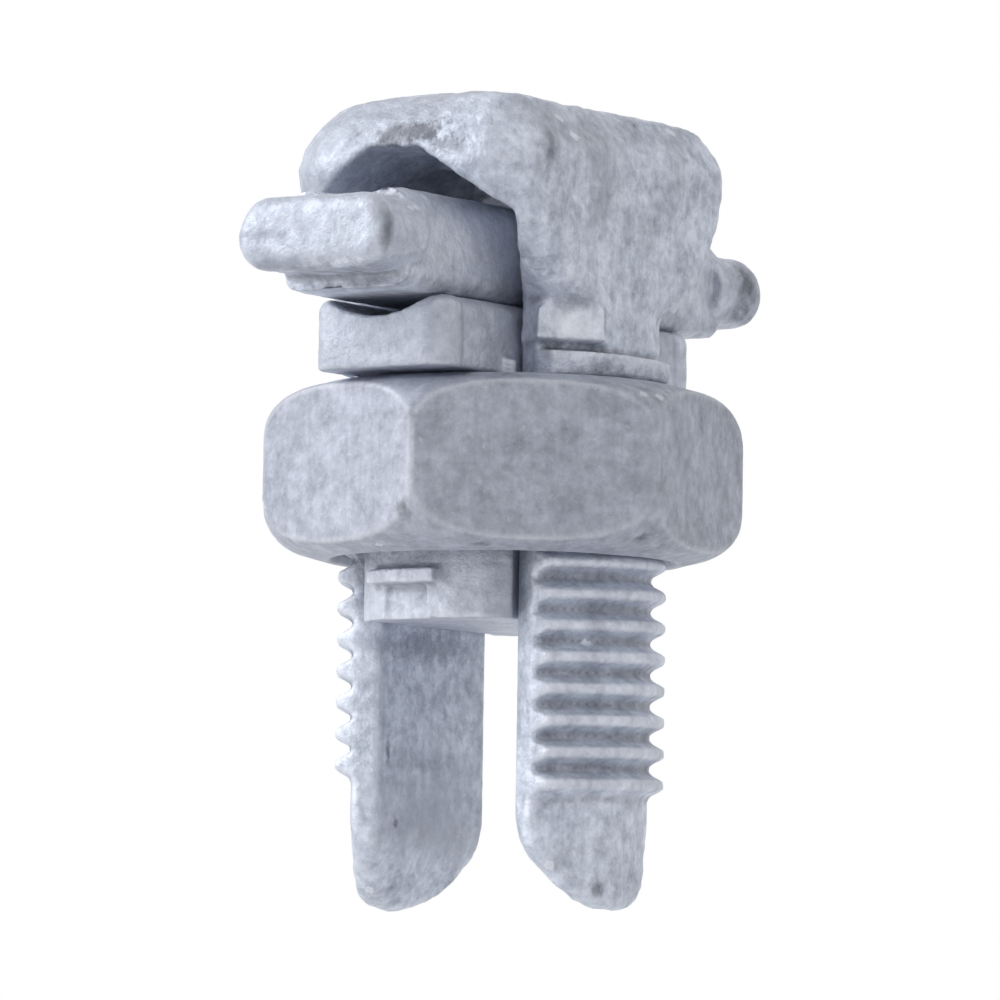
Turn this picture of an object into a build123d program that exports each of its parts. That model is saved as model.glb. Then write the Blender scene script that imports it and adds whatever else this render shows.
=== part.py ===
"""Split-bolt cable connector in forged aluminium: an arched bolt with two
threaded legs, a hexagon nut, a pressure bar that the nut carries and a loose
spacer bar between the two cable grooves.

Frame, in millimetres: the origin is on the bolt's axis at the top of the upper
cable groove, under the arch. +Z runs up the axis through the head, +Y runs
along the cables and +X runs across the slot, from leg to leg.
"""

import os
from math import radians, tan

from build123d import *

# Thread of the legs and the nut
PITCH = 2.117
CREST_R = 11.1
ROOT_R = 10.0
CREST_LAND = 0.55
ROOT_LAND = 0.45
THREAD_PHASE_Z = -41.6
THREAD_FIT = 0.15
LEG_SPAN = 55.0
LAND_DROP = 0.7
LAND_HEIGHT = 0.8
LAND_R = 11.17

# Heights along the axis
HEAD_TOP_Z = 4.4
SHOULDER_Z = 3.7
PANEL_TOP_Z = 0.9
BAND_FOOT_Z = -0.9
NECK_TOP_Z = -9.6
NECK_BOTTOM_Z = -12.3
TIP_Z = -50.1

# Head
HEAD_WIDTH = 20.2
HEAD_LENGTH = 28.6
HEAD_CORNER_R = 5.6
PANEL_CORNER_R = 4.0
SHOULDER_WIDTH = 16.8
BAND_TAPER = 0.5
SHOULDER_LENGTH = 24.4
SHOULDER_CORNER_R = 6.3
RIDGE_CORNER_R = 2.4
CROWN_WIDTH = 8.4
CROWN_LENGTH = 19.0
NECK_LENGTH = 14.2
NECK_CORNER_R = 2.6
NECK_R = 10.45
MOUTH_WIDTH = 20.6
MOUTH_RISE = 0.25
MOUTH_FOOT_Z = -5.4
MOUTH_DEPTH = 8.6
PAD_WIDTH = 5.0
PAD_HEIGHT = 2.4
PAD_ANGLE = -32.0
PAD_REACH = 10.85

# Slot between the legs and the upper cable groove
SLOT_WIDTH = 11.0
ROOF_FLAT = 3.8
ROOF_RISE = 2.4
RIB_PITCH = 2.6
RIB_COUNT = 5
RIB_LENGTH = 3.6
RIB_WIDTH = 0.8
RIB_HEIGHT = 0.4

# Legs
LEG_INNER_LENGTH = 12.7
LEG_OUTER_LENGTH = 14.2
LEG_BEVEL = 1.75
TIP_BEVEL_HEIGHT = 4.6
TIP_BEVEL_DEPTH = 2.3

# Nut
NUT_FLATS = 28.6
NUT_HEIGHT = 11.9
NUT_CORNER_R = 16.4
NUT_FACE_R = 12.0
NUT_CHAMFER_ANGLE = 15.0
NUT_ROUNDING_R = 3.5
NUT_TURN = 42.0
NUT_LEAD_IN = 0.5

# Pressure bar and its stem
BAR_LENGTH = 31.0
BAR_HEIGHT = 4.8
BAR_END_WIDTH = 11.0
BAR_END_LENGTH = 2.2
BAR_GROOVE_WIDTH = 8.6
BAR_GROOVE_DEPTH = 1.3
BAR_RIM_R = 0.9
BAR_CORNER_R = 1.9
STEM_WIDTH = 11.9
STEM_DROP = 4.3
LIP_WIDTH = 5.9
LIP_HEIGHT = 1.0
LIP_REACH = 1.1
LIP_DROP = 0.95
LIP_PLACE = -1.3
PUNCH_WIDTH = 3.7
PUNCH_DEPTH = 0.7

# Spacer bar
SPACER_LENGTH = 47.0
FLANGE_LENGTH = 5.7
FLANGE_WIDTH = 12.4
FLANGE_HEIGHT = 5.1
FLANGE_END_R = 2.5
FLANGE_FACE_R = 1.3
FLANGE_BACK_R = 0.6
FLANGE_RISE = 0.1
WEB_HEIGHT = 6.8
WEB_EDGE_R = 2.0
WEB_FOOT_R = 1.2
SPACER_GROOVE_WIDTH = 5.6
SPACER_GROOVE_DEPTH = 0.5

# Clearances
SLIDE_FIT = 0.2
SPACER_FIT = 0.4
SEAT_GAP = 0.05
STEM_FIT = 0.3
ROOF_LIFT = 2.2

# Worked out from the sizes above
ROOF_FOOT_Z = -ROOF_RISE
SADDLE_WIDTH = SLOT_WIDTH - 2 * SLIDE_FIT
WEB_WIDTH = SLOT_WIDTH - 2 * SPACER_FIT
NUT_BORE_R = ROOT_R + THREAD_FIT
ROOF_SLOPE = ROOF_RISE / ((SLOT_WIDTH - ROOF_FLAT) / 2)
SHOULDER_X = WEB_WIDTH / 2 - WEB_EDGE_R
SPACER_TOP_Z = -ROOF_LIFT - ROOF_SLOPE * max(SHOULDER_X - ROOF_FLAT / 2, 0)
SPACER_BOTTOM_Z = SPACER_TOP_Z - WEB_HEIGHT
RIM_REACH = max(BAR_GROOVE_WIDTH / 2 - (WEB_WIDTH / 2 - WEB_FOOT_R), 0)
SEAT_DEPTH = WEB_FOOT_R - (WEB_FOOT_R**2 - RIM_REACH**2) ** 0.5
BAR_TOP_Z = SPACER_BOTTOM_Z + SEAT_DEPTH - SEAT_GAP
BAR_BOTTOM_Z = BAR_TOP_Z - BAR_HEIGHT
NUT_TOP_Z = BAR_BOTTOM_Z - SEAT_GAP
NUT_BOTTOM_Z = NUT_TOP_Z - NUT_HEIGHT
STEM_BOTTOM_Z = NUT_BOTTOM_Z - STEM_DROP
LONG = 3 * SPACER_LENGTH


def block(x0, x1, y0, y1, z0, z1):
    """A plain box between two corners."""
    middle = ((x0 + x1) / 2, (y0 + y1) / 2, (z0 + z1) / 2)
    return Pos(*middle) * Box(x1 - x0, y1 - y0, z1 - z0)


def along_y(points, length):
    """A prism whose XZ outline is given, centred on Y = 0."""
    outline = make_face(Polyline(*[(x, 0, z) for x, z in points], close=True))
    return extrude(outline, amount=length / 2, dir=(0, 1, 0), both=True)


def half_turn(shape):
    """The same shape on the other side of the axis."""
    return Rot(Z=180) * shape


def between(first, second, share):
    """The value that lies this share of the way from the first to the second."""
    return first + (second - first) * share


# Thread


def ridge_arc(crest_r, root_r, crest_land, base_land, start, end, z):
    """A stretch of right-hand ridge; z is its height where it crosses +X."""
    sink = 0.3
    slope = (base_land - crest_land) / 2 / (crest_r - root_r)
    base = base_land / 2 + slope * sink
    corners = [
        (root_r - sink, -base),
        (crest_r, -crest_land / 2),
        (crest_r, crest_land / 2),
        (root_r - sink, base),
    ]
    rise = PITCH * (end - start) / 360
    rails = [Pos(0, 0, dz) * Helix(PITCH, rise, r) for r, dz in corners]
    flanks = [Face.make_surface_from_curves(a, b) for a, b in zip(rails, rails[1:] + rails[:1])]
    ends = [make_face(Polyline(*[rail @ t for rail in rails], close=True)).face() for t in (0, 1)]
    arc = Solid(Shell(flanks + ends))
    return Pos(0, 0, z + PITCH * start / 360) * Rot(Z=start) * arc


def leg_ridge(middle):
    """The lowest ridge on the leg at this angle round the axis, and how many there are."""
    first_z = THREAD_PHASE_Z
    last_z = NECK_BOTTOM_Z - LAND_DROP - PITCH * (middle + LEG_SPAN) / 360
    count = int((last_z - first_z) // PITCH) + 1
    base_land = PITCH - ROOT_LAND
    arc = ridge_arc(
        CREST_R, ROOT_R, CREST_LAND, base_land, middle - LEG_SPAN, middle + LEG_SPAN, first_z
    )
    return arc, count


# Split bolt


def leg_section():
    """Plan of both legs: flats front and back, bevelled towards the slot."""
    inner_x = SLOT_WIDTH / 2
    outer_x = inner_x + LEG_BEVEL
    corners = [
        (inner_x, -LEG_INNER_LENGTH / 2),
        (outer_x, -LEG_OUTER_LENGTH / 2),
        (LONG, -LEG_OUTER_LENGTH / 2),
        (LONG, LEG_OUTER_LENGTH / 2),
        (outer_x, LEG_OUTER_LENGTH / 2),
        (inner_x, LEG_INNER_LENGTH / 2),
    ]
    right = make_face(Polyline(*[(x, y, TIP_Z) for x, y in corners], close=True))
    return right


def leg(middle):
    """One leg, at this angle round the axis: 0 on the right, 180 on the left."""
    prism = extrude(leg_section(), amount=NECK_BOTTOM_Z - TIP_Z, dir=(0, 0, 1))
    prism = Rot(Z=middle) * prism
    height = NECK_BOTTOM_Z - TIP_Z
    core = prism & (Pos(0, 0, TIP_Z + height / 2) * Cylinder(ROOT_R, height))
    land_top = NECK_BOTTOM_Z - LAND_DROP
    land = Pos(0, 0, land_top - LAND_HEIGHT / 2) * Cylinder(LAND_R, LAND_HEIGHT)
    lowest, count = leg_ridge(middle)
    trimmed = lowest & prism
    ridges = [Pos(0, 0, PITCH * turn) * trimmed for turn in range(count)]
    tip_r = LEG_OUTER_LENGTH / 2
    rounded = Pos(0, 0, TIP_Z + tip_r) * Rot(Y=90) * Cylinder(tip_r, LONG)
    upper = block(-LONG, LONG, -LONG, LONG, TIP_Z + tip_r, NECK_BOTTOM_Z)
    inner_x = SLOT_WIDTH / 2
    bevel = along_y(
        [
            (0, TIP_Z - 1),
            (inner_x + TIP_BEVEL_DEPTH, TIP_Z - 1),
            (inner_x + TIP_BEVEL_DEPTH, TIP_Z),
            (inner_x, TIP_Z + TIP_BEVEL_HEIGHT),
            (0, TIP_Z + TIP_BEVEL_HEIGHT),
        ],
        LONG,
    )
    core = (core & (rounded + upper)) - Rot(Z=middle) * bevel
    return core + ridges + (land & prism)


def head_section(width, length, round_r, ridge_r, z):
    """Plan of the head; its left corners are rounder than those at the panel."""
    plan = Rectangle(width, length)
    left = plan.vertices().group_by(Axis.X)[0]
    plan = fillet(left, round_r)
    right = [v for v in plan.vertices() if v.X > width / 2 - ridge_r / 2]
    return Pos(0, 0, z) * fillet(right, ridge_r)


def head():
    """The arch: a neck that swells along the cables up to a bevelled crown."""
    neck_foot, neck_top, band_foot, band_top = (
        head_section(HEAD_WIDTH, length, round_r, ridge_r, z)
        for length, round_r, ridge_r, z in (
            (NECK_LENGTH, NECK_CORNER_R, NECK_CORNER_R, NECK_BOTTOM_Z),
            (NECK_LENGTH, NECK_CORNER_R, NECK_CORNER_R, NECK_TOP_Z),
            (HEAD_LENGTH, HEAD_CORNER_R, PANEL_CORNER_R, BAND_FOOT_Z),
            (HEAD_LENGTH - BAND_TAPER, SHOULDER_CORNER_R, PANEL_CORNER_R, PANEL_TOP_Z),
        )
    )
    swelling = head_section(
        HEAD_WIDTH,
        between(NECK_LENGTH, HEAD_LENGTH, 2 / 3),
        between(NECK_CORNER_R, HEAD_CORNER_R, 2 / 3),
        between(NECK_CORNER_R, PANEL_CORNER_R, 2 / 3),
        between(NECK_TOP_Z, BAND_FOOT_Z, 1 / 2),
    )
    bevel = head_section(
        between(HEAD_WIDTH, SHOULDER_WIDTH, 1 / 2),
        between(HEAD_LENGTH - BAND_TAPER, SHOULDER_LENGTH, 1 / 3),
        SHOULDER_CORNER_R,
        between(PANEL_CORNER_R, RIDGE_CORNER_R, 1 / 2),
        between(PANEL_TOP_Z, SHOULDER_Z, 1 / 2),
    )
    shoulder = head_section(
        SHOULDER_WIDTH, SHOULDER_LENGTH, SHOULDER_CORNER_R, RIDGE_CORNER_R, SHOULDER_Z
    )
    crown = head_section(
        CROWN_WIDTH, CROWN_LENGTH, SHOULDER_CORNER_R / 2, RIDGE_CORNER_R / 2, HEAD_TOP_Z
    )
    neck = loft([neck_foot, neck_top], ruled=True)
    height = NECK_TOP_Z - NECK_BOTTOM_Z
    neck = neck & Pos(0, 0, NECK_BOTTOM_Z + height / 2) * Cylinder(NECK_R, height)
    swell = loft([neck_top, swelling, band_foot])
    top = loft([band_foot, band_top, bevel, shoulder, crown], ruled=True)
    return neck + swell + top


def slot_outline(width, foot_z, top_z):
    """XZ outline of the slot between the legs, roofed by the upper cable groove."""
    return [
        (-width / 2, TIP_Z - 1),
        (width / 2, TIP_Z - 1),
        (width / 2, foot_z),
        (ROOF_FLAT / 2, top_z),
        (-ROOF_FLAT / 2, top_z),
        (-width / 2, foot_z),
    ]


def slot_cut():
    return along_y(slot_outline(SLOT_WIDTH, ROOF_FOOT_Z, 0), LONG)


def mouth_cut():
    """The slot's flare towards the front, where the arch opens like a funnel."""
    inner_y = -LEG_INNER_LENGTH / 2
    faces = []
    for depth in (-1, MOUTH_DEPTH):
        share = depth / MOUTH_DEPTH
        points = slot_outline(
            between(SLOT_WIDTH, MOUTH_WIDTH, share),
            between(ROOF_FOOT_Z, MOUTH_FOOT_Z, share),
            between(0, MOUTH_RISE, share),
        )
        faces.append(make_face(Polyline(*[(x, inner_y - depth, z) for x, z in points], close=True)))
    return loft(faces, ruled=True)


def grip_ribs():
    """Low ribs across the roof of the groove, which bite into the cable."""
    half = RIB_LENGTH / 2
    rib = block(-half, half, -RIB_WIDTH / 2, RIB_WIDTH / 2, -RIB_HEIGHT, RIB_HEIGHT)
    rows = range(RIB_COUNT)
    return [Pos(0, RIB_PITCH * (row - (RIB_COUNT - 1) / 2), 0) * rib for row in rows]


def corner_pad():
    """A flat pad left on the neck's corner above the thread."""
    pad_z = NECK_BOTTOM_Z + PAD_HEIGHT / 2
    depth = PAD_REACH - ROOT_R + 1.5
    pad = Pos(PAD_REACH - depth / 2, 0, pad_z) * Box(depth, PAD_WIDTH, PAD_HEIGHT)
    return Rot(Z=PAD_ANGLE) * pad


def split_bolt():
    arch = head() - slot_cut() - mouth_cut() - half_turn(mouth_cut())
    pads = [corner_pad(), half_turn(corner_pad())]
    return arch + leg(0) + leg(180) + pads + grip_ribs()


# Nut


def hex_nut():
    """Hexagon nut with rounded corners and the legs' thread inside."""
    half = NUT_HEIGHT / 2
    middle_z = NUT_TOP_Z - half
    hexagon = extrude(
        RegularPolygon(NUT_FLATS / 2, 6, major_radius=False), amount=half, both=True
    )
    hexagon = Rot(Z=NUT_TURN) * hexagon
    drop = (NUT_CORNER_R - NUT_FACE_R) * tan(radians(NUT_CHAMFER_ANGLE))
    corners = [
        (0, -half),
        (NUT_FACE_R, -half),
        (NUT_CORNER_R, drop - half),
        (NUT_CORNER_R, half - drop),
        (NUT_FACE_R, half),
        (0, half),
    ]
    outline = make_face(Polyline(*[(x, 0, z) for x, z in corners], close=True))
    rims = [v for v in outline.vertices() if v.X > NUT_FACE_R + 1]
    barrel = revolve(fillet(rims, NUT_ROUNDING_R), Axis.Z)
    body = Pos(0, 0, middle_z) * (hexagon & barrel)
    bore = Pos(0, 0, middle_z) * Cylinder(NUT_BORE_R, NUT_HEIGHT + 2)
    first = 3 * int((NUT_BOTTOM_Z - THREAD_PHASE_Z) / PITCH - 1)
    last = 3 * int((NUT_TOP_Z - THREAD_PHASE_Z) / PITCH + 2)
    grooves = [
        ridge_arc(
            CREST_R + THREAD_FIT,
            NUT_BORE_R,
            CREST_LAND + THREAD_FIT,
            PITCH - ROOT_LAND + THREAD_FIT,
            120 * third,
            120 * third + 120,
            THREAD_PHASE_Z,
        )
        for third in range(first, last)
    ]
    mouth_r = CREST_R + THREAD_FIT
    lead = Cone(mouth_r + NUT_LEAD_IN, mouth_r - 1.2, NUT_LEAD_IN + 1.2)
    lower = Pos(0, 0, NUT_BOTTOM_Z + (NUT_LEAD_IN + 1.2) / 2 - 0.01) * lead
    upper = Pos(0, 0, NUT_TOP_Z - (NUT_LEAD_IN + 1.2) / 2 + 0.01) * Rot(X=180) * lead
    return body - bore - grooves - lower - upper


# Pressure bar


def saddle(width, length, corner_r):
    """A bar along the cables with the lower cable groove along its top."""
    body = Box(width, length, BAR_HEIGHT)
    body = fillet(body.edges().filter_by(Axis.Z), corner_r)
    body = fillet(body.faces().sort_by(Axis.Z)[-1].edges(), BAR_RIM_R)
    body = Pos(0, 0, BAR_BOTTOM_Z + BAR_HEIGHT / 2) * body
    rim = BAR_GROOVE_WIDTH / 2
    groove_r = (rim**2 + BAR_GROOVE_DEPTH**2) / (2 * BAR_GROOVE_DEPTH)
    groove_z = BAR_TOP_Z - BAR_GROOVE_DEPTH + groove_r
    return body - Pos(0, 0, groove_z) * Rot(X=90) * Cylinder(groove_r, LONG)


def pressure_bar():
    """Saddle that slides in the slot, with a stem down through the nut."""
    half = SADDLE_WIDTH / 2
    end_y = BAR_LENGTH / 2 - BAR_END_LENGTH
    ends = saddle(BAR_END_WIDTH, BAR_LENGTH, BAR_CORNER_R)
    ends = ends - block(-LONG, LONG, -end_y, end_y, BAR_BOTTOM_Z - 1, BAR_TOP_Z + 1)
    bar = saddle(SADDLE_WIDTH, BAR_LENGTH - BAR_END_LENGTH, BAR_RIM_R) + ends
    stem_r = NUT_BORE_R - STEM_FIT
    stem_z = (BAR_BOTTOM_Z + STEM_BOTTOM_Z) / 2
    stem_height = BAR_BOTTOM_Z - STEM_BOTTOM_Z + 1
    round_stem = Pos(0, 0, stem_z + 0.5) * Cylinder(stem_r, stem_height)
    web = block(-half, half, -LONG, LONG, STEM_BOTTOM_Z, BAR_BOTTOM_Z + 1)
    clear_y = LEG_OUTER_LENGTH / 2 + SLIDE_FIT
    wide = STEM_WIDTH / 2
    front = block(-wide, wide, -LONG, -clear_y, STEM_BOTTOM_Z, BAR_BOTTOM_Z + 1)
    stem = round_stem & (web + front + half_turn(front))
    return bar + stem + lip() + half_turn(lip()) - punch() - half_turn(punch())


def lip():
    """Metal punched outwards under the nut, which holds it on the stem."""
    stem_r = NUT_BORE_R - STEM_FIT
    top = NUT_BOTTOM_Z - LIP_DROP
    y = -(stem_r**2 - LIP_PLACE**2) ** 0.5
    blank = block(
        LIP_PLACE - LIP_WIDTH / 2, LIP_PLACE + LIP_WIDTH / 2, y - LIP_REACH, y + 1, top - LIP_HEIGHT, top
    )
    reach = Pos(0, 0, top) * Cylinder(stem_r + LIP_REACH, 4 * LIP_HEIGHT)
    return blank & reach


def punch():
    """The groove that the punch left below the lip."""
    stem_r = NUT_BORE_R - STEM_FIT
    top = NUT_BOTTOM_Z - LIP_DROP - LIP_HEIGHT
    y = -(stem_r**2 - LIP_PLACE**2) ** 0.5
    return block(
        LIP_PLACE - PUNCH_WIDTH / 2,
        LIP_PLACE + PUNCH_WIDTH / 2,
        y - 3,
        y + PUNCH_DEPTH,
        STEM_BOTTOM_Z - 1,
        top,
    )


# Spacer bar


def spacer_bar():
    """Loose bar through the slot, with a wide flange outside each mouth."""
    web_length = SPACER_LENGTH - 2 * FLANGE_LENGTH + 2 * FLANGE_FACE_R
    web_z = (SPACER_TOP_Z + SPACER_BOTTOM_Z) / 2
    web = Box(WEB_WIDTH, web_length, WEB_HEIGHT)
    web = fillet(web.edges().filter_by(Axis.Y).group_by(Axis.Z)[-1], WEB_EDGE_R)
    web = fillet(web.edges().filter_by(Axis.Y).group_by(Axis.Z)[0], WEB_FOOT_R)
    web = Pos(0, 0, web_z) * web
    rim = SPACER_GROOVE_WIDTH / 2
    groove_r = (rim**2 + SPACER_GROOVE_DEPTH**2) / (2 * SPACER_GROOVE_DEPTH)
    groove_z = SPACER_TOP_Z - SPACER_GROOVE_DEPTH + groove_r
    web = web - Pos(0, 0, groove_z) * Rot(X=90) * Cylinder(groove_r, LONG)
    flange = Box(FLANGE_WIDTH, FLANGE_LENGTH, FLANGE_HEIGHT)
    flange = fillet(flange.edges().filter_by(Axis.Y), FLANGE_END_R)
    flange = fillet(flange.faces().sort_by(Axis.Y)[0].edges(), FLANGE_FACE_R)
    flange = fillet(flange.faces().sort_by(Axis.Y)[-1].edges(), FLANGE_BACK_R)
    flange_y = SPACER_LENGTH / 2 - FLANGE_LENGTH / 2
    flange = Pos(0, -flange_y, web_z + FLANGE_RISE) * flange
    return web + flange + half_turn(flange)


os.makedirs("parts", exist_ok=True)
NODES = {
    "split_bolt": split_bolt,
    "hex_nut": hex_nut,
    "pressure_bar": pressure_bar,
    "spacer_bar": spacer_bar,
}
for node, make in NODES.items():
    shape = make()
    export_step(shape, f"parts/{node}.step")
    print(node, len(shape.solids()), "solid,", round(shape.volume, 1), "mm3")
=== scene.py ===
# %% [markdown]
# # A split-bolt cable clamp in forged aluminium
#
# The clamp holds two bare cables together. It has four loose pieces: an arched
# bolt with two threaded legs, a hexagon nut, a pressure bar that the nut pushes
# up, and a spacer bar that keeps the two cables apart. The sizes and the
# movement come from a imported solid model, and this lesson gives each piece the
# skin that a forging, a drawn bar or a worn thread has.

from math import cos, radians, sin

import bpy
from mathutils import Matrix, Vector


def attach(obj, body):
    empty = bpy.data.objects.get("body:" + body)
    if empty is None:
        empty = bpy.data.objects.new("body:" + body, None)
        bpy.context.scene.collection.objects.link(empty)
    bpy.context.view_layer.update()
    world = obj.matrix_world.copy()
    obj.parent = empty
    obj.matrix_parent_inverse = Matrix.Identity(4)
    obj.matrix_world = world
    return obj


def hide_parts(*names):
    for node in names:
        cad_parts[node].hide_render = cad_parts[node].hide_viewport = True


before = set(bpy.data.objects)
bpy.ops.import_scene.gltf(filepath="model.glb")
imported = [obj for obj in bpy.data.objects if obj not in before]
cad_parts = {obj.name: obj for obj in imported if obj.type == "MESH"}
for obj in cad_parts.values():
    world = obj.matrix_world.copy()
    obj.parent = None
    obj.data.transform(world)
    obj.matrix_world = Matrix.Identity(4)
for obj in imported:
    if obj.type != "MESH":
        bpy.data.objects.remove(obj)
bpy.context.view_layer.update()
MM = 0.001
print("solid model:", sorted(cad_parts))

# %% [markdown]
# ## The camera
#
# A product shot like this one is taken with a long lens from a little below
# the middle of the object, so its upright edges stay almost parallel. The
# camera stands 34 degrees to the right of the cables' direction and looks up by
# less than 5 degrees. It could be aimed with a constraint, but a place and a
# direction worked out once are easier to check.

# %% Camera
CAMERA_TURN = radians(34.0)
CAMERA_RISE = radians(-4.6)
CAMERA_ROLL = radians(0.9)
CAMERA_DISTANCE = 540 * MM
PIXELS_PER_MM = 14.79
AIM = Vector((0, 0, -19.5 * MM))
AXIS_OFF_CENTRE = [pixels / PIXELS_PER_MM * MM for pixels in (4, 40)]
IMAGE_WIDTH = 1000
SENSOR_WIDTH = 36.0

level_right = Vector((cos(CAMERA_TURN), sin(CAMERA_TURN), 0))
forward = Vector(
    (
        -sin(CAMERA_TURN) * cos(CAMERA_RISE),
        cos(CAMERA_TURN) * cos(CAMERA_RISE),
        -sin(CAMERA_RISE),
    )
)
level_up = level_right.cross(forward)
right = cos(CAMERA_ROLL) * level_right + sin(CAMERA_ROLL) * level_up
up = cos(CAMERA_ROLL) * level_up - sin(CAMERA_ROLL) * level_right

camera_data = bpy.data.cameras.new("long_lens")
camera_data.sensor_width = SENSOR_WIDTH
camera_data.lens = SENSOR_WIDTH * PIXELS_PER_MM * (CAMERA_DISTANCE / MM) / IMAGE_WIDTH
camera_data.clip_start = 0.05
camera = bpy.data.objects.new("camera", camera_data)
bpy.context.scene.collection.objects.link(camera)
camera.rotation_euler = Matrix((right, up, -forward)).transposed().to_euler()
camera.location = (
    AIM
    - AXIS_OFF_CENTRE[0] * right
    - AXIS_OFF_CENTRE[1] * up
    - CAMERA_DISTANCE * forward
)
bpy.context.scene.camera = camera
print("lens", round(camera_data.lens, 1), "mm")
print("camera at", [round(v / MM) for v in camera.location], "mm")

# %% [markdown]
# ## Background and floor
#
# The clamp is shown on white, but a white room would light it from all sides
# and wash the metal out. So the background is white only where the camera, a
# glossy metal or a glass looks at it, and a plain grey where it lights the
# object. The clamp hangs from a cable in use, so the floor lies well below it.
# Its paper glows in the same way, only where it is looked at, so that it is as
# white as the background and still takes the clamp's soft shadow. Stronger
# lamps would make it white too, but they would bleach the clamp.

# %% World
scene = bpy.context.scene
scene.view_settings.view_transform = "Standard"
AMBIENT = 0.30
WHITE = (1, 1, 1, 1)


def strength_where_seen(tree, unseen, seen):
    """A strength with one value for rays that light and one for rays that show the surface."""
    path = tree.nodes.new("ShaderNodeLightPath")
    showing = path.outputs["Is Camera Ray"]
    for ray in ("Is Glossy Ray", "Is Transmission Ray"):
        either = tree.nodes.new("ShaderNodeMath")
        either.operation = "MAXIMUM"
        tree.links.new(showing, either.inputs[0])
        tree.links.new(path.outputs[ray], either.inputs[1])
        showing = either.outputs[0]
    strength = tree.nodes.new("ShaderNodeMapRange")
    strength.inputs["To Min"].default_value = unseen
    strength.inputs["To Max"].default_value = seen
    tree.links.new(showing, strength.inputs["Value"])
    return strength.outputs["Result"]


world = bpy.data.worlds.new("white_studio")
scene.world = world
world.use_nodes = True
sky = world.node_tree
sky.nodes.clear()
background = sky.nodes.new("ShaderNodeBackground")
background.inputs["Color"].default_value = WHITE
sky.links.new(strength_where_seen(sky, AMBIENT, 1.0), background.inputs["Strength"])
world_out = sky.nodes.new("ShaderNodeOutputWorld")
sky.links.new(background.outputs[0], world_out.inputs["Surface"])
print("world", world.name, "lights with", AMBIENT, "and shows white")

# %% Floor
FLOOR_Z = -125 * MM
FLOOR_RADIUS = 1.5
PAPER_GLOW = 0.66
PAPER = (0.86, 0.86, 0.87, 1)

bpy.ops.object.select_all(action="DESELECT")
bpy.ops.mesh.primitive_circle_add(
    vertices=96,
    radius=FLOOR_RADIUS,
    fill_type="NGON",
    location=(0, 0, FLOOR_Z),
)
floor = bpy.context.object
floor.name = "floor"
paper = bpy.data.materials.new("pale_paper")
paper.use_nodes = True
paper_shader = paper.node_tree.nodes["Principled BSDF"]
paper_shader.inputs["Base Color"].default_value = PAPER
paper_shader.inputs["Roughness"].default_value = 0.9
paper_shader.inputs["Specular IOR Level"].default_value = 0.1
paper_shader.inputs["Emission Color"].default_value = WHITE
glow = strength_where_seen(paper.node_tree, 0.0, PAPER_GLOW)
paper.node_tree.links.new(glow, paper_shader.inputs["Emission Strength"])
floor.data.materials.append(paper)
print("floor", round(FLOOR_Z / MM), "mm")

# %% [markdown]
# ## Lamps
#
# One large soft lamp lights the clamp from the left, and a weak one from the
# right. So its left sides are bright, and its right sides stay grey without
# going black. Large lamps close by give the soft borders of light and shadow
# that a dull metal shows; a small lamp would draw hard glints on each dent.

# %% Lamps
def soft_lamp(name, turn, rise, distance, size, power):
    """A square area lamp that looks at the clamp; turn is measured from +X."""
    towards = Vector((cos(turn) * cos(rise), sin(turn) * cos(rise), sin(rise)))
    data = bpy.data.lights.new(name, "AREA")
    data.shape = "SQUARE"
    data.size = size
    data.energy = power
    lamp = bpy.data.objects.new(name, data)
    scene.collection.objects.link(lamp)
    lamp.location = AIM + distance * towards
    lamp.rotation_euler = (-towards).to_track_quat("-Z", "Y").to_euler()
    print(name, round(power, 2), "W at", [round(v / MM) for v in lamp.location], "mm")


soft_lamp("key", turn=radians(222), rise=radians(26), distance=0.45, size=0.36, power=1.4)
soft_lamp("fill", turn=radians(-15), rise=radians(35), distance=0.5, size=0.4, power=0.35)


# %% [markdown]
# ## From solid to forging
#
# A solid model has razor-sharp edges and perfect planes. A forging has neither:
# its edges are rounded by the die, and its skin is pitted by scale. The copy of
# each solid is merged, rebuilt as an even grid of small faces by a voxel
# remesh, smoothed until its edges are as soft as the real ones, and then pushed
# mostly inwards, by some tenths of a millimetre at most, with cloud textures. A
# bevel on each edge would look machined, and sculpting by hand couldn't be
# repeated.

# %% Helpers for the copies
def pick(piece):
    """Makes this piece the only one that operators act on."""
    bpy.ops.object.select_all(action="DESELECT")
    piece.select_set(True)
    bpy.context.view_layer.objects.active = piece


MERGE_DISTANCE = 0.002 * MM


def copy_of(node, name):
    """A merged copy of a solid's mesh, as a new piece that can be modelled."""
    piece = bpy.data.objects.new(name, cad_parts[node].data.copy())
    scene.collection.objects.link(piece)
    piece.data.materials.clear()
    pick(piece)
    bpy.ops.object.mode_set(mode="EDIT")
    bpy.ops.mesh.select_all(action="SELECT")
    bpy.ops.mesh.remove_doubles(threshold=MERGE_DISTANCE)
    bpy.ops.object.mode_set(mode="OBJECT")
    return piece


def apply_modifier(piece, kind, **settings):
    """Adds a modifier with these settings and applies it."""
    pick(piece)
    modifier = piece.modifiers.new(kind.lower(), kind)
    for key, value in settings.items():
        setattr(modifier, key, value)
    bpy.ops.object.modifier_apply(modifier=modifier.name)


def soften(piece, times, where=""):
    """Smooths the skin this many times, in one region or all over."""
    apply_modifier(piece, "SMOOTH", factor=0.5, iterations=times, vertex_group=where)


def even_skin(piece, grain, smoothing):
    """Rebuilds a piece as an even grid and softens its edges."""
    apply_modifier(piece, "REMESH", mode="VOXEL", voxel_size=grain)
    soften(piece, smoothing)
    pick(piece)
    bpy.ops.object.shade_smooth()


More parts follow.
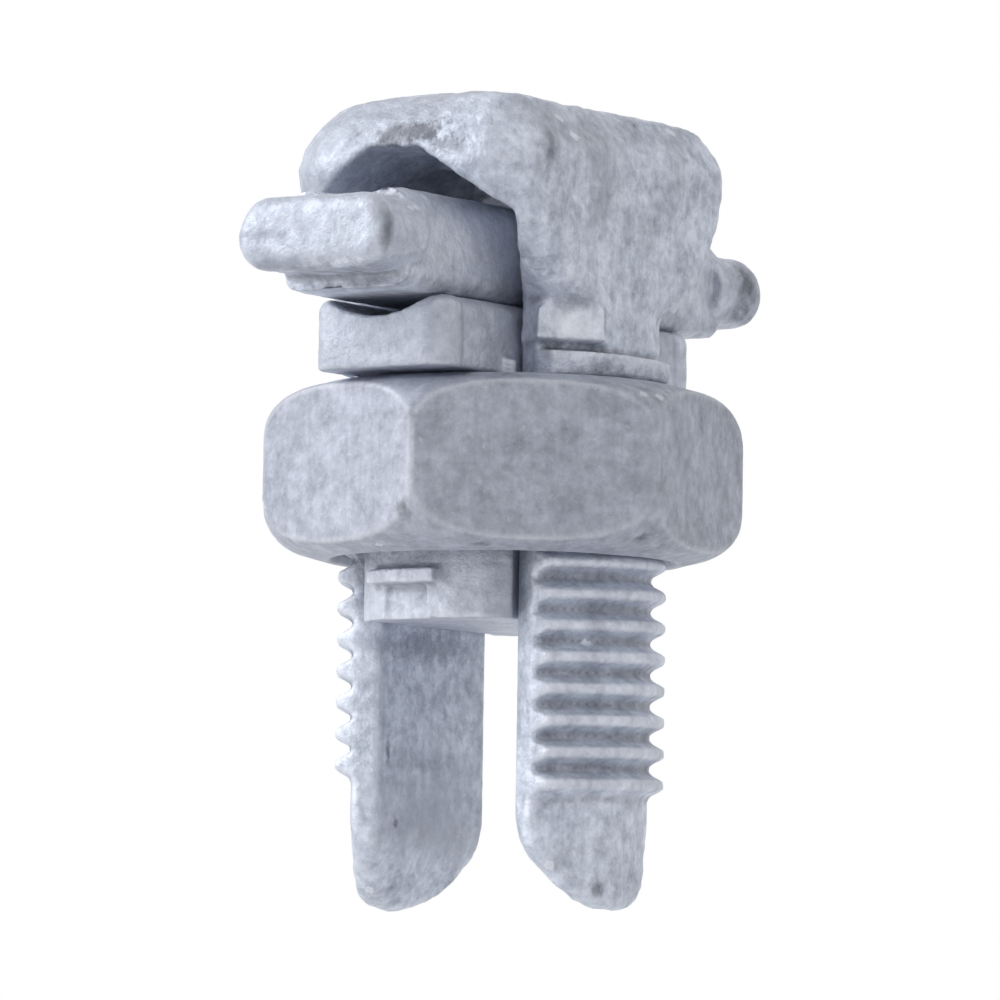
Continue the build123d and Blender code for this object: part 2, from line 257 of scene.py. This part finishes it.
def region(piece, name, share):
    """A vertex group; the function share gives the weight of a point from its place."""
    group = piece.vertex_groups.new(name=name)
    for vertex in piece.data.vertices:
        weight = share(vertex.co)
        if weight > 0:
            group.add([vertex.index], min(weight, 1.0), "REPLACE")
    return group.name


def cloud_texture(name, size, depth):
    """A cloud pattern whose lumps are about this size across."""
    texture = bpy.data.textures.new(name, "CLOUDS")
    texture.noise_scale = size
    texture.noise_depth = depth
    texture.noise_basis = "ORIGINAL_PERLIN"
    return texture


SKIN_LEVEL = 0.65


def uneven(piece, texture, height, where=""):
    """Pushes the skin mostly in and a little out, in one region or all over."""
    apply_modifier(
        piece,
        "DISPLACE",
        texture=texture,
        texture_coords="LOCAL",
        strength=height,
        mid_level=SKIN_LEVEL,
        vertex_group=where,
    )


swells = cloud_texture("die_swells", size=4.5 * MM, depth=1)
dents = cloud_texture("scale_dents", size=1.1 * MM, depth=2)
print("textures:", swells.name, dents.name)

# %% [markdown]
# ## The bolt
#
# The head and the legs of the bolt aren't equally rough. The thread was rolled,
# so it is crisp and even, while the head kept the lumps of the die, and its
# edges and those of the leg tips are well rounded. So the whole bolt is
# smoothed a little, then the head and the tips more, and the tips most of all.
# Vertex groups that fade out over a millimetre or two hold these regions.

# %% Bolt
BOLT_GRAIN = 0.26 * MM
NECK_Z = -12.5 * MM
TIP_TOP_Z = -44.0 * MM
FADE = 1.5 * MM


def tip_share(place):
    """1 on the leg tips, 0 above them."""
    return (TIP_TOP_Z - place.z) / FADE


def forged_share(place):
    """1 on the head and the leg tips, 0 on the thread."""
    return max((place.z - NECK_Z) / FADE, tip_share(place))


bolt = copy_of("split_bolt", "forged_bolt")
even_skin(bolt, BOLT_GRAIN, smoothing=1)
forged_part = region(bolt, "forged_part", forged_share)
soften(bolt, times=8, where=forged_part)
tips = region(bolt, "tips", tip_share)
soften(bolt, times=40, where=tips)
uneven(bolt, swells, height=0.34 * MM, where=forged_part)
uneven(bolt, dents, height=0.3 * MM, where=forged_part)
uneven(bolt, dents, height=0.06 * MM)
print(bolt.name, len(bolt.data.polygons), "faces")

# %% [markdown]
# ## The nut
#
# The nut was cut from drawn hexagon bar: flat faces with a fine grain, and
# crisp arcs where the turned chamfer meets them. A finer grid than the bolt's
# and a single smoothing keep those arcs.

# %% Nut
NUT_GRAIN = 0.2 * MM

nut = copy_of("hex_nut", "drawn_nut")
even_skin(nut, NUT_GRAIN, smoothing=1)
uneven(nut, swells, height=0.1 * MM)
uneven(nut, dents, height=0.05 * MM)
print(nut.name, len(nut.data.polygons), "faces")

# %% [markdown]
# ## Pressure bar and spacer bar
#
# Both are small forgings. The flange of the spacer was upset at each end, which
# left the skin there lumpy, so that region gets swells of its own before the
# small dents go all over.

# %% Pressure bar and spacer bar
BAR_GRAIN = 0.2 * MM
SPACER_GRAIN = 0.18 * MM
FLANGE_Y = 17.5 * MM
FLANGE_FADE = 1.0 * MM


def flange_share(place):
    """1 on the spacer's flanges, 0 on its web."""
    return (abs(place.y) - FLANGE_Y) / FLANGE_FADE


bar = copy_of("pressure_bar", "forged_pressure_bar")
even_skin(bar, BAR_GRAIN, smoothing=3)
uneven(bar, dents, height=0.14 * MM)

spacer = copy_of("spacer_bar", "forged_spacer")
even_skin(spacer, SPACER_GRAIN, smoothing=3)
flanges = region(spacer, "flanges", flange_share)
uneven(spacer, swells, height=0.5 * MM, where=flanges)
uneven(spacer, dents, height=0.16 * MM)

for piece in (bar, spacer):
    print(piece.name, len(piece.data.polygons), "faces")


# %% [markdown]
# ## Building blocks for the finishes
#
# The finishes are shader node groups. A few short functions add one node each
# and return its output, so that a group reads like a recipe.

# %% Node helpers
def make_group(name, inputs, outputs):
    """An empty shader group from inputs (name, value) and outputs (name, kind)."""
    group = bpy.data.node_groups.new(name, "ShaderNodeTree")
    kinds = {3: "NodeSocketVector", 4: "NodeSocketColor"}
    for label, value in inputs:
        size = len(value) if isinstance(value, tuple) else 0
        kind = kinds.get(size, "NodeSocketFloat")
        socket = group.interface.new_socket(label, in_out="INPUT", socket_type=kind)
        socket.default_value = value
    for label, kind in outputs:
        group.interface.new_socket(label, in_out="OUTPUT", socket_type=kind)
    start = group.nodes.new("NodeGroupInput")
    end = group.nodes.new("NodeGroupOutput")
    return group, start, end


def feed(tree, socket, value):
    """Links an output to a socket, or writes a plain value on it."""
    if isinstance(value, (int, float, tuple)):
        socket.default_value = value
    else:
        tree.links.new(value, socket)


def noise(tree, vector, scale, detail, roughness):
    """A noise pattern with this many lumps per metre; its values lie around a half."""
    node = tree.nodes.new("ShaderNodeTexNoise")
    node.inputs["Scale"].default_value = scale
    node.inputs["Detail"].default_value = detail
    node.inputs["Roughness"].default_value = roughness
    tree.links.new(vector, node.inputs["Vector"])
    return node.outputs["Fac"]


def remap(tree, value, low, high, to_low=0.0, to_high=1.0):
    """The range from low to high stretched onto another, and cut off at its ends."""
    node = tree.nodes.new("ShaderNodeMapRange")
    for label, number in (
        ("From Min", low),
        ("From Max", high),
        ("To Min", to_low),
        ("To Max", to_high),
    ):
        node.inputs[label].default_value = number
    tree.links.new(value, node.inputs["Value"])
    return node.outputs["Result"]


def blend_colours(tree, factor, first, second):
    """The first colour where the factor is 0, and the second where it is 1."""
    node = tree.nodes.new("ShaderNodeMix")
    node.data_type = "RGBA"
    tree.links.new(factor, node.inputs["Factor"])
    for socket, value in (("A", first), ("B", second)):
        target = next(s for s in node.inputs if s.name == socket and s.type == "RGBA")
        feed(tree, target, value)
    return next(s for s in node.outputs if s.type == "RGBA")


def reckon(tree, operation, first, second):
    """One sum, product or the like of two values."""
    node = tree.nodes.new("ShaderNodeMath")
    node.operation = operation
    feed(tree, node.inputs[0], first)
    feed(tree, node.inputs[1], second)
    return node.outputs[0]


def vector_reckon(tree, operation, first, second):
    """One difference, quotient or the like of two vectors."""
    node = tree.nodes.new("ShaderNodeVectorMath")
    node.operation = operation
    feed(tree, node.inputs[0], first)
    feed(tree, node.inputs[1], second)
    return node.outputs["Vector"]


def stretched(tree, vector, scale):
    """The place with each axis scaled, which draws a pattern out along an axis."""
    node = tree.nodes.new("ShaderNodeMapping")
    node.inputs["Scale"].default_value = scale
    tree.links.new(vector, node.inputs["Vector"])
    return node.outputs["Vector"]


# %% [markdown]
# ## The tinned skin
#
# All four pieces are aluminium with a thin dull coat of tin. Seen close up it
# has a frosty grain of about half a millimetre, grey patches where the coat is
# thin, faint draw lines along the axis and a few dark specks of scale. Raised
# edges and thread crests are lightened, partly as rubbed wear and partly as
# painted highlight, and hollow corners and dents are darkened with painted
# shade. The frost, grain, patches and smudges are noise at four sizes, and the
# bright edges and the painted shade read the curvature of the mesh. Painting
# them by hand would tie them to one mesh; this way each piece gets its own.

# %% Tinned skin group
SPECK = (0.10, 0.105, 0.125, 1)
# This bright colour serves the frost, rubbed edges, and painted highlight on edges and thread
# crests.
RUBBED_AND_HIGHLIGHT = (0.86, 0.89, 0.95, 1)
# This near black is painted shade for hollow corners and dents.
HOLLOW_SHADE = (0.12, 0.125, 0.145, 1)
SMUDGE = (0.24, 0.25, 0.29, 1)
FROST_SCALE = 2600
GRAIN_SCALE = 1100
LINE_SCALE = 1500
PATCH_SCALE = 380
SMUDGE_SCALE = 120
ALONG_AXIS = (1, 1, 0.06)

skin_group, start, end = make_group(
    "tinned_skin",
    [
        ("Light", (0.66, 0.70, 0.80, 1)),
        ("Dark", (0.36, 0.39, 0.46, 1)),
        ("Stain", 0.6),
        ("Wear and Highlight", 0.6),
        ("Specks", 0.5),
        ("Edge", 0.512),
    ],
    [
        ("Color", "NodeSocketColor"),
        ("Roughness", "NodeSocketFloat"),
        ("Height", "NodeSocketFloat"),
    ],
)
place = skin_group.nodes.new("ShaderNodeTexCoord").outputs["Object"]
frost = noise(skin_group, place, FROST_SCALE, 3, 0.7)
grain = noise(skin_group, place, GRAIN_SCALE, 5, 0.7)
patches = noise(skin_group, place, PATCH_SCALE, 5, 0.65)
coarse = noise(skin_group, place, SMUDGE_SCALE, 4, 0.6)
drawn_out = stretched(skin_group, place, ALONG_AXIS)
lines = noise(skin_group, drawn_out, LINE_SCALE, 3, 0.6)

half_grain = reckon(skin_group, "MULTIPLY", grain, 0.5)
half_patches = reckon(skin_group, "MULTIPLY", patches, 0.5)
mottle = reckon(skin_group, "ADD", half_grain, half_patches)
mottle = remap(skin_group, mottle, 0.40, 0.62)
colour = blend_colours(skin_group, mottle, start.outputs["Light"], start.outputs["Dark"])
drawn = remap(skin_group, lines, 0.52, 0.75, 0.0, 0.45)
colour = blend_colours(skin_group, drawn, colour, start.outputs["Dark"])
sparkle = remap(skin_group, frost, 0.60, 0.74, 0.0, 0.4)
colour = blend_colours(skin_group, sparkle, colour, RUBBED_AND_HIGHLIGHT)
smudge = remap(skin_group, coarse, 0.52, 0.72)
smudge = reckon(skin_group, "MULTIPLY", smudge, start.outputs["Stain"])
colour = blend_colours(skin_group, smudge, colour, SMUDGE)
scale_spots = reckon(skin_group, "MULTIPLY", grain, patches)
scale_spots = remap(skin_group, scale_spots, 0.40, 0.47)
scale_spots = reckon(skin_group, "MULTIPLY", scale_spots, start.outputs["Specks"])
colour = blend_colours(skin_group, scale_spots, colour, SPECK)

shape = skin_group.nodes.new("ShaderNodeNewGeometry").outputs["Pointiness"]
# Rubbed wear and painted highlight: sharp raised edges and thread crests are lightened towards
# bright tin.
past_edge = reckon(skin_group, "SUBTRACT", shape, start.outputs["Edge"])
rubbed_and_highlit_edges = remap(skin_group, past_edge, 0.0, 0.05)
rubbed_and_highlit_edges = reckon(skin_group, "MULTIPLY", rubbed_and_highlit_edges, start.outputs["Wear and Highlight"])
colour = blend_colours(skin_group, rubbed_and_highlit_edges, colour, RUBBED_AND_HIGHLIGHT)
# Painted shade: where the pointiness is low, in hollow corners and dents, the colour is
# darkened towards a near black.
painted_hollow_shade = remap(skin_group, shape, 0.493, 0.44, 0.0, 0.9)
colour = blend_colours(skin_group, painted_hollow_shade, colour, HOLLOW_SHADE)
skin_group.links.new(colour, end.inputs["Color"])

gloss = remap(skin_group, grain, 0.25, 0.75, 0.40, 0.66)
skin_group.links.new(gloss, end.inputs["Roughness"])
fine_relief = reckon(skin_group, "MULTIPLY", frost, 0.35)
relief = reckon(skin_group, "ADD", grain, fine_relief)
skin_group.links.new(relief, end.inputs["Height"])
print("group", skin_group.name, len(skin_group.nodes), "nodes")

# %% [markdown]
# ## Marks in known places
#
# Some marks sit where the clamp was gripped, struck or rubbed: a row of pits
# over the arch, a rubbed band across the leg. Others are painted light: a
# painted highlight and bands of painted shade along the spacer's web, painted
# shade on the inner face of the leg, and painted shade with dirt where the
# spacer's neck ends under its flange. Each is an ellipsoid in space with a
# ragged border, so it lies on whatever surface passes through it, and it stays
# put when the piece moves.

# %% Placed mark group
RAGGED_SCALE = 900

mark_group, start, end = make_group(
    "placed_mark",
    [
        ("Centre", (0.0, 0.0, 0.0)),
        ("Half Size", (0.001, 0.001, 0.001)),
        ("Strength", 1.0),
        ("Ragged", 1.0),
    ],
    [("Mask", "NodeSocketFloat")],
)
place = mark_group.nodes.new("ShaderNodeTexCoord").outputs["Object"]
offset = vector_reckon(mark_group, "SUBTRACT", place, start.outputs["Centre"])
share = vector_reckon(mark_group, "DIVIDE", offset, start.outputs["Half Size"])
distance = mark_group.nodes.new("ShaderNodeVectorMath")
distance.operation = "LENGTH"
mark_group.links.new(share, distance.inputs[0])
ragged = noise(mark_group, place, RAGGED_SCALE, 5, 0.7)
ragged = remap(mark_group, ragged, 0.3, 0.7, -0.9, 0.9)
ragged = reckon(mark_group, "MULTIPLY", ragged, start.outputs["Ragged"])
border = reckon(mark_group, "ADD", distance.outputs["Value"], ragged)
mask = remap(mark_group, border, 1.3, 0.2)
mask = reckon(mark_group, "MULTIPLY", mask, start.outputs["Strength"])
mark_group.links.new(mask, end.inputs["Mask"])
print("group", mark_group.name, len(mark_group.nodes), "nodes")

# %% [markdown]
# ## One metal, four finishes
#
# Each piece has its own material, with the two groups set to its own values.
# The forged pieces are bright and frosty with painted shade in their dents, and
# the nut, cut from drawn bar, is greyer and smoother with bright corners that
# are partly rubbed and partly painted highlight. One material for all four
# would be less work, but then they would look cast in one go.

# %% Metal
# The near black serves scale pits and specks and also painted shade; the bright tin below
# serves bright tin and also a painted highlight.
SCALE_AND_SHADE_BLACK = (0.10, 0.106, 0.13, 1)
# This grey serves rubs and also painted shade on the inner face of a leg.
RUBBED_AND_SHADE_GREY = (0.27, 0.295, 0.36, 1)
BRIGHT_TIN_AND_HIGHLIGHT = (0.88, 0.90, 0.95, 1)
DULL_GREY = (0.42, 0.455, 0.53, 1)
BUMP_DEPTH = 0.2 * MM


def metal(name, metallic, bump, skin_values, marks):
    """A tinned finish; each mark is (centre, half size, strength, ragged, colour) in mm."""
    material = bpy.data.materials.new(name)
    material.use_nodes = True
    tree = material.node_tree
    shader = tree.nodes["Principled BSDF"]
    shader.inputs["Metallic"].default_value = metallic
    skin = tree.nodes.new("ShaderNodeGroup")
    skin.node_tree = skin_group
    for label, value in skin_values.items():
        skin.inputs[label].default_value = value
    colour = skin.outputs["Color"]
    for centre, half_size, strength, ragged, tint in marks:
        mark = tree.nodes.new("ShaderNodeGroup")
        mark.node_tree = mark_group
        mark.inputs["Centre"].default_value = [v * MM for v in centre]
        mark.inputs["Half Size"].default_value = [v * MM for v in half_size]
        mark.inputs["Strength"].default_value = strength
        mark.inputs["Ragged"].default_value = ragged
        colour = blend_colours(tree, mark.outputs["Mask"], colour, tint)
    tree.links.new(colour, shader.inputs["Base Color"])
    tree.links.new(skin.outputs["Roughness"], shader.inputs["Roughness"])
    relief = tree.nodes.new("ShaderNodeBump")
    relief.inputs["Strength"].default_value = bump
    relief.inputs["Distance"].default_value = BUMP_DEPTH
    tree.links.new(skin.outputs["Height"], relief.inputs["Height"])
    tree.links.new(relief.outputs["Normal"], shader.inputs["Normal"])
    print(name, "with", len(marks), "marks")
    return material


# %% Finish of the bolt
forged_finish = metal(
    "forged_tin",
    metallic=0.42,
    bump=0.8,
    skin_values={
        "Light": (0.76, 0.81, 0.92, 1),
        "Dark": (0.40, 0.44, 0.53, 1),
        "Stain": 0.6,
        "Wear and Highlight": 0.6,
        "Specks": 0.75,
        "Edge": 0.51,
    },
    marks=[
        ((-5.0, -13.5, 2.0), (12.0, 3.5, 7.5), 0.75, 0.35, DULL_GREY),
        # Painted shade over the lower inner face of the left leg, which faces away from the
        # key lamp.
        ((-5.5, 0.0, -44.5), (0.8, 8.0, 6.5), 0.75, 0.4, DULL_GREY),
        ((1.6, -13.9, 1.2), (3.6, 1.5, 0.8), 0.75, 1.1, SCALE_AND_SHADE_BLACK),
        ((4.6, -14.1, 0.3), (2.2, 1.5, 0.6), 0.5, 1.2, SCALE_AND_SHADE_BLACK),
        ((10.1, -9.9, 0.2), (0.6, 0.5, 1.4), 0.6, 0.8, SCALE_AND_SHADE_BLACK),
        ((9.2, -5.8, -11.2), (1.6, 2.6, 1.1), 0.6, 0.5, BRIGHT_TIN_AND_HIGHLIGHT),
        # A rubbed band across the inner face of the left leg, and painted shadow at its top
        # below the nut.
        ((-5.5, -0.8, -40.2), (0.6, 3.2, 0.5), 0.6, 0.8, RUBBED_AND_SHADE_GREY),
        ((-5.5, -0.8, -32.2), (0.6, 5.5, 1.2), 0.7, 0.9, RUBBED_AND_SHADE_GREY),
        ((-5.5, -5.2, -39.3), (0.4, 0.25, 0.9), 0.7, 0.8, SCALE_AND_SHADE_BLACK),
        ((-5.5, -4.2, -44.1), (0.4, 0.35, 0.35), 0.8, 0.8, SCALE_AND_SHADE_BLACK),
        ((9.7, -2.4, -48.6), (0.8, 0.5, 0.6), 0.75, 0.8, SCALE_AND_SHADE_BLACK),
    ],
)

# %% Finish of the nut
drawn_finish = metal(
    "drawn_tin",
    metallic=0.12,
    bump=0.45,
    skin_values={
        "Light": (0.61, 0.65, 0.76, 1),
        "Dark": (0.36, 0.39, 0.47, 1),
        "Stain": 0.3,
        "Wear and Highlight": 0.75,
        "Specks": 0.8,
        "Edge": 0.505,
    },
    marks=[
        ((2.7, -15.9, -23.9), (0.7, 0.7, 0.6), 0.7, 0.9, SCALE_AND_SHADE_BLACK),
        ((14.1, -4.6, -25.6), (0.5, 0.5, 0.4), 0.8, 0.7, SCALE_AND_SHADE_BLACK),
        ((-8.1, -12.4, -19.3), (1.6, 0.6, 0.5), 0.35, 1.0, RUBBED_AND_SHADE_GREY),
        ((-9.1, -12.1, -23.1), (1.0, 0.6, 0.5), 0.4, 1.0, RUBBED_AND_SHADE_GREY),
        ((8.1, -11.9, -21.2), (0.3, 0.5, 0.3), 0.5, 0.7, RUBBED_AND_SHADE_GREY),
        ((6.2, -11.7, -26.2), (0.6, 0.5, 0.3), 0.8, 0.5, SCALE_AND_SHADE_BLACK),
    ],
)

# %% Finish of the pressure bar
bar_finish = metal(
    "bar_tin",
    metallic=0.45,
    bump=0.8,
    skin_values={
        "Light": (0.65, 0.69, 0.78, 1),
        "Dark": (0.44, 0.47, 0.55, 1),
        "Stain": 0.4,
        "Wear and Highlight": 0.5,
        "Specks": 0.6,
        "Edge": 0.51,
    },
    marks=[
        ((0.0, -16.2, -12.2), (9.0, 3.2, 5.0), 0.7, 0.35, DULL_GREY),
        ((5.6, -7.5, -29.0), (1.3, 3.0, 5.0), 0.6, 0.5, RUBBED_AND_SHADE_GREY),
    ],
)

# %% Finish of the spacer bar
spacer_finish = metal(
    "spacer_tin",
    metallic=0.5,
    bump=0.7,
    skin_values={
        "Light": (0.66, 0.71, 0.81, 1),
        "Dark": (0.44, 0.47, 0.55, 1),
        "Stain": 0.4,
        "Wear and Highlight": 0.55,
        "Specks": 0.5,
        "Edge": 0.51,
    },
    marks=[
        ((0.0, -24.0, -6.4), (9.0, 2.4, 4.5), 0.5, 0.35, DULL_GREY),
        # Painted highlight: a bright band along the middle of the web's side.
        ((5.1, 0.0, -6.2), (0.9, 18.5, 2.2), 0.55, 0.5, BRIGHT_TIN_AND_HIGHLIGHT),
        ((6.2, 21.0, -6.4), (2.2, 3.5, 3.5), 0.55, 0.5, RUBBED_AND_SHADE_GREY),
        ((-3.6, -23.4, -6.4), (3.0, 0.8, 0.5), 0.6, 0.9, RUBBED_AND_SHADE_GREY),
        ((-2.0, -23.3, -8.4), (4.0, 1.0, 0.4), 0.5, 0.9, RUBBED_AND_SHADE_GREY),
        ((6.1, -22.7, -6.4), (0.7, 0.6, 3.2), 0.9, 0.3, SCALE_AND_SHADE_BLACK),
        # Painted shade along the rounded bottom and top edges of the web.
        ((5.0, 0.0, -9.4), (0.8, 17.5, 0.9), 0.6, 0.5, SCALE_AND_SHADE_BLACK),
        ((4.4, 0.0, -3.2), (1.4, 17.5, 0.7), 0.55, 0.5, SCALE_AND_SHADE_BLACK),
        ((6.0, 21.0, -5.4), (1.4, 1.0, 2.4), 0.8, 0.6, SCALE_AND_SHADE_BLACK),
        ((5.6, 20.6, -8.2), (1.2, 1.4, 0.8), 0.65, 0.7, SCALE_AND_SHADE_BLACK),
        # Dirt and painted shade on the end of the neck, under the flange.
        ((0.0, -21.0, -9.4), (6.0, 2.6, 0.8), 0.7, 0.6, SCALE_AND_SHADE_BLACK),
    ],
)

# %% [markdown]
# ## Putting the pieces on the solid model
#
# Each dressed piece takes the place of its solid, moves with the same body and
# gets a material of its own. The piece could be moved with keyframes, but
# riding on a body shows it right at every setting of the nut.

# %% Dress the solid model
for piece, node, body, slot, material in (
    (bolt, "split_bolt", "bolt", "forged_aluminium", forged_finish),
    (nut, "hex_nut", "nut", "nut_aluminium", drawn_finish),
    (bar, "pressure_bar", "pressure_bar", "bar_aluminium", bar_finish),
    (spacer, "spacer_bar", "spacer", "spacer_aluminium", spacer_finish),
):
    piece.data.materials.append(material)
    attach(piece, body)
    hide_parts(node)
    print(piece.name, "rides on", body)
